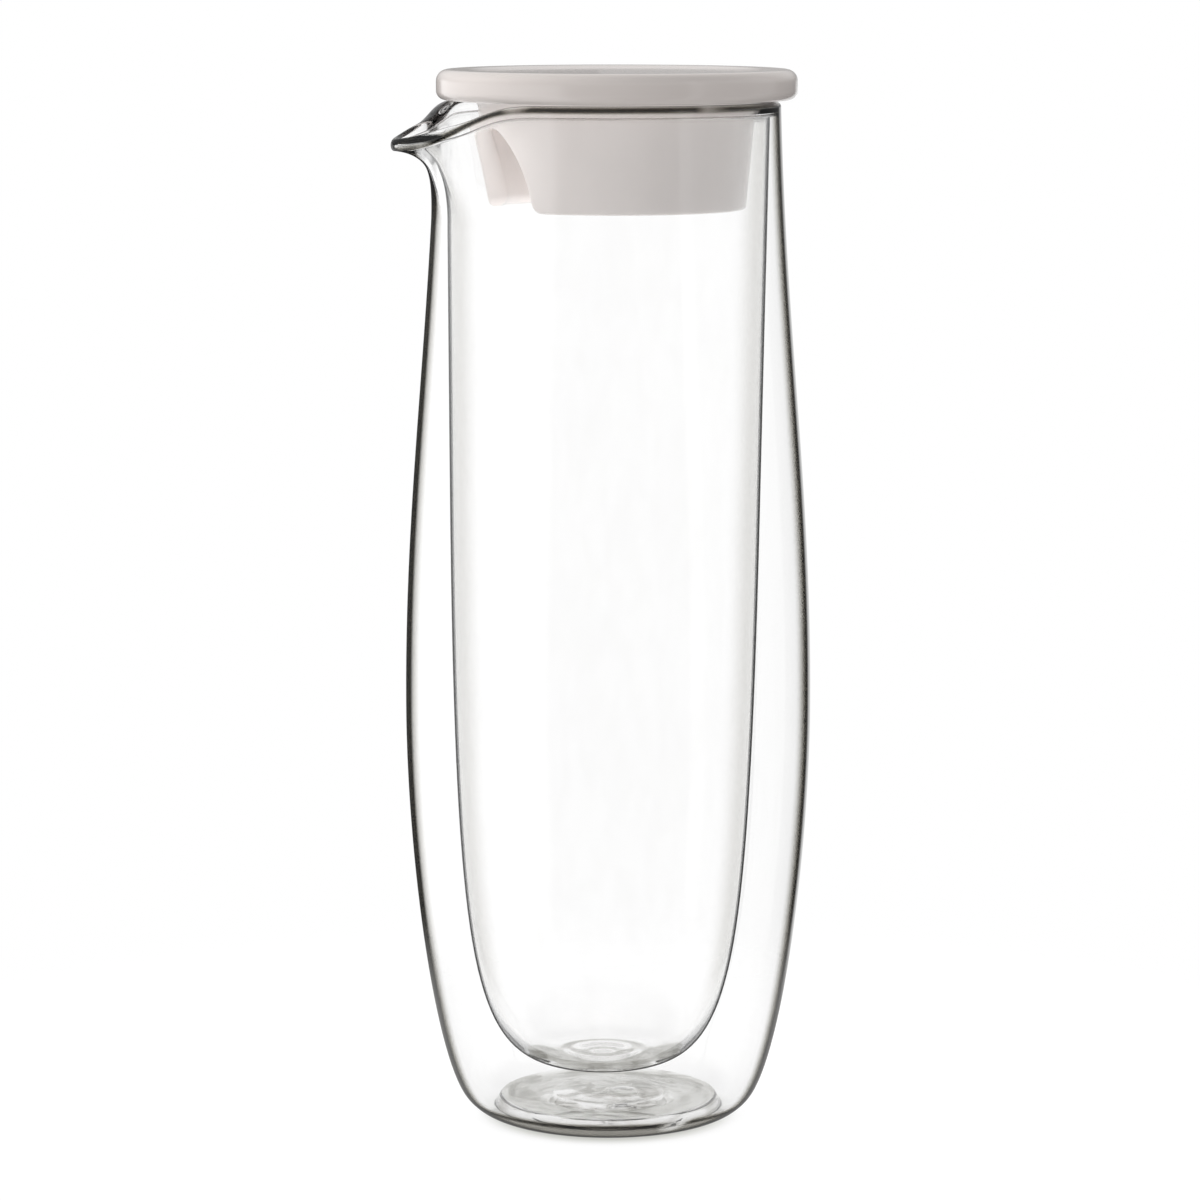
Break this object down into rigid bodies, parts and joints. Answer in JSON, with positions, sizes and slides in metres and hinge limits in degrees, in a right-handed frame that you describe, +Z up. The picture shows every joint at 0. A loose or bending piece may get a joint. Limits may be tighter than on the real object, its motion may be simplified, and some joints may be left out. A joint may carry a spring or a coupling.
{
  "type": "double-walled carafe",
  "caption": "Tall double-walled glass carafe with a pulled pouring lip and a porcelain lid whose hollow skirt plugs the neck and has an arch towards the lip for pouring.",
  "frame": {"origin": "centre of the flat underside of the base disc, on the carafe's axis, at the surface it stands on", "axes": "+Z up along the carafe's axis; the pouring lip points along -X; the lid sits a little towards +X"},
  "size_m": [0.1146, 0.1076, 0.28],
  "materials": {
    "clear_glass": "clear polished borosilicate",
    "seal_glass": "clear, flame sealed",
    "white_porcelain": "glazed, satin"
  },
  "bodies": {
    "carafe": {"outer_shell": "clear_glass", "inner_vessel": "clear_glass", "base_disc": "clear_glass", "vent_seal": "seal_glass"},
    "lid": {"lid": "white_porcelain"}
  },
  "joints": [
    {"name": "lid_lift", "type": "slide", "parent": "carafe", "child": "lid", "axis": [0, 0, 1], "range_m": [0, 0.06]}
  ]
}
